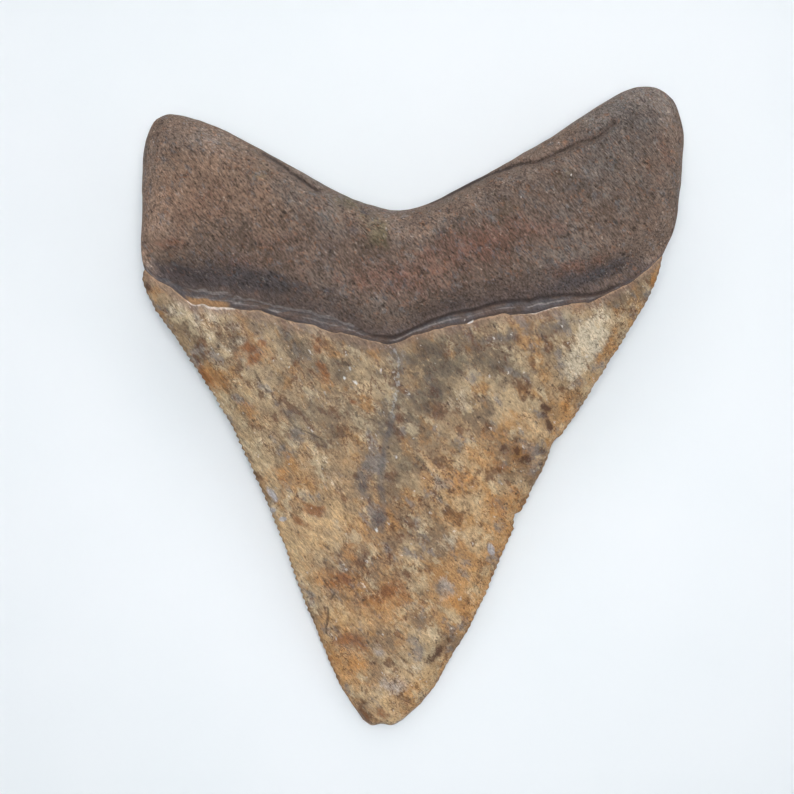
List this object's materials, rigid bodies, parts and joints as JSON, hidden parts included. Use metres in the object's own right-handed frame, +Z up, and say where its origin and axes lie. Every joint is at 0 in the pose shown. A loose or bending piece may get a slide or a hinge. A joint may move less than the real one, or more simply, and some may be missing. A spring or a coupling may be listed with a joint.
{
  "type": "fossil megalodon tooth",
  "caption": "Broad triangular fossil shark tooth with serrated cutting edges, an arched two-lobed root and a worn tip, lying flat.",
  "frame": {"origin": "on the surface the tooth lies on, under the middle of its bounding box", "axes": "+X to the tooth's right seen from above, +Y from the tip to the root, +Z up, towards the lip face"},
  "size_m": [0.0742, 0.0882, 0.0168],
  "materials": {
    "fossil_tooth": "mottled tan and grey satin enamel on the crown, matt brown finely grained bone on the root"
  },
  "bodies": {
    "root": {"tooth": "fossil_tooth"}
  },
  "joints": []
}
